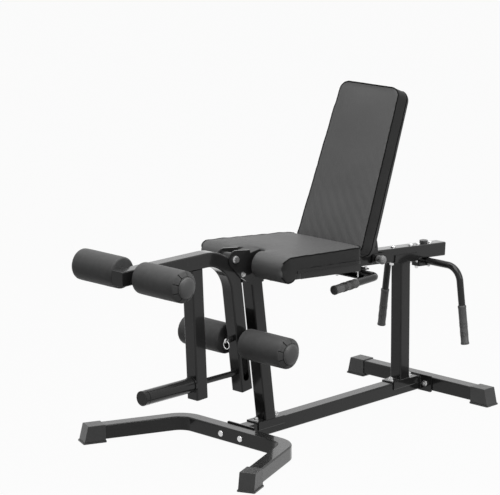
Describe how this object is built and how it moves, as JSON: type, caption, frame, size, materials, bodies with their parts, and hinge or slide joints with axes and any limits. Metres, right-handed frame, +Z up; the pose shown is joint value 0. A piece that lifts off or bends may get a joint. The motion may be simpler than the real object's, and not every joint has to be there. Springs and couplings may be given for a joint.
{
  "type": "adjustable weight bench",
  "caption": "Adjustable exercise bench on a single-rail steel frame, with a reclining backrest, a pivoting leg developer with foam rollers, a weight sleeve and side handles.",
  "frame": {"origin": "on the floor, under the middle of the bench's bounding box", "axes": "+X towards the rear of the bench, +Y to the sitter's right, +Z up; the sitter faces -X"},
  "size_m": [1.5941, 0.841, 1.1567],
  "materials": {
    "black_powder_coat": "satin black powder coat on steel",
    "zinc_plate": "bright zinc plate",
    "black_rubber": "matt black rubber",
    "black_plastic": "black moulded plastic",
    "grey_plastic": "light grey moulded plastic",
    "black_foam": "black closed-cell foam",
    "grey_vinyl": "dark grey textured vinyl",
    "painted_board": "board covered in black backing cloth"
  },
  "bodies": {
    "frame": {"front_stabilizer": "black_powder_coat", "rear_stabilizer": "black_powder_coat", "rubber_feet": "black_rubber", "stabilizer_bolts": "zinc_plate", "base_rail": "black_powder_coat", "base_end_plates": "black_powder_coat", "rear_post": "black_powder_coat", "front_post": "black_powder_coat", "post_saddles": "black_powder_coat", "post_bolts": "zinc_plate", "frame_plugs": "black_plastic", "upper_rail": "black_powder_coat", "rail_front_bolt": "zinc_plate", "pivot_bracket": "black_powder_coat", "pivot_bolt": "zinc_plate", "stop_bolt": "zinc_plate", "stop_sleeve": "black_rubber", "seat_frame": "black_powder_coat", "seat_board": "painted_board", "seat_pad": "grey_vinyl", "seat_screws": "zinc_plate", "seat_handle": "black_powder_coat", "seat_handle_grips": "black_rubber", "seat_handle_clamp": "black_powder_coat", "seat_handle_bolts": "zinc_plate", "rear_handlebar": "black_powder_coat", "rear_handlebar_grips": "black_rubber", "rear_handlebar_clamp": "black_powder_coat", "rear_handlebar_bolts": "zinc_plate", "backrest_bumper": "black_rubber", "selector_bracket": "black_powder_coat", "backrest_hinge_bolt": "zinc_plate"},
    "leg_arm": {"leg_arm": "black_powder_coat", "pivot_lug": "black_powder_coat", "pivot_bush": "black_plastic", "arm_upright": "black_powder_coat", "weight_sleeve": "black_powder_coat", "arm_brace": "black_powder_coat", "arm_plugs": "black_plastic", "upper_roller_axle": "black_powder_coat", "pull_pin_barrel": "black_powder_coat"},
    "roller_carriage": {"roller_carriage": "black_powder_coat", "lower_roller_axle": "black_powder_coat"},
    "pull_pin": {"pull_pin": "zinc_plate", "pull_pin_spring": "zinc_plate"},
    "upper_roller_left": {"upper_foam_left": "black_foam", "upper_roller_hub_left": "black_plastic"},
    "upper_roller_right": {"upper_foam_right": "black_foam", "upper_roller_hub_right": "black_plastic"},
    "lower_roller_left": {"lower_foam_left": "black_foam", "lower_roller_hub_left": "black_plastic"},
    "lower_roller_right": {"lower_foam_right": "black_foam", "lower_roller_hub_right": "black_plastic"},
    "backrest": {"backrest_pad": "grey_vinyl", "backrest_board": "painted_board", "backrest_frame": "black_powder_coat", "backrest_screws": "zinc_plate"},
    "selector_pin": {"selector_pin": "zinc_plate", "selector_knob": "grey_plastic", "selector_spring": "zinc_plate"}
  },
  "joints": [
    {"name": "leg_arm_pivot", "type": "hinge", "parent": "frame", "child": "leg_arm", "pos_m": [-0.28965, 0, 0.6525], "axis": [0, 1, 0], "range_deg": [0, 80]},
    {"name": "roller_height", "type": "slide", "parent": "leg_arm", "child": "roller_carriage", "axis": [0.1265, 0, -0.992], "range_m": [0, 0.125]},
    {"name": "pull_pin_travel", "type": "slide", "parent": "leg_arm", "child": "pull_pin", "axis": [-0.992, 0, -0.1265], "range_m": [0, 0.0061], "stiffness_N_per_m": 600, "springref_m": -0.012},
    {"name": "upper_roller_left_spin", "type": "hinge", "parent": "leg_arm", "child": "upper_roller_left", "pos_m": [-0.72715, 0, 0.669], "axis": [0, 1, 0], "continuous": true},
    {"name": "upper_roller_right_spin", "type": "hinge", "parent": "leg_arm", "child": "upper_roller_right", "pos_m": [-0.72715, 0, 0.669], "axis": [0, 1, 0], "continuous": true},
    {"name": "lower_roller_left_spin", "type": "hinge", "parent": "roller_carriage", "child": "lower_roller_left", "pos_m": [-0.2511, 0, 0.359], "axis": [0, 1, 0], "continuous": true},
    {"name": "lower_roller_right_spin", "type": "hinge", "parent": "roller_carriage", "child": "lower_roller_right", "pos_m": [-0.2511, 0, 0.359], "axis": [0, 1, 0], "continuous": true},
    {"name": "backrest_recline", "type": "hinge", "parent": "frame", "child": "backrest", "pos_m": [0.26485, 0, 0.56], "axis": [0, 1, 0], "range_deg": [0, 68]},
    {"name": "selector_pin_travel", "type": "slide", "parent": "frame", "child": "selector_pin", "axis": [0, 1, 0], "range_m": [0, 0.01], "stiffness_N_per_m": 700, "springref_m": 0.022}
  ]
}
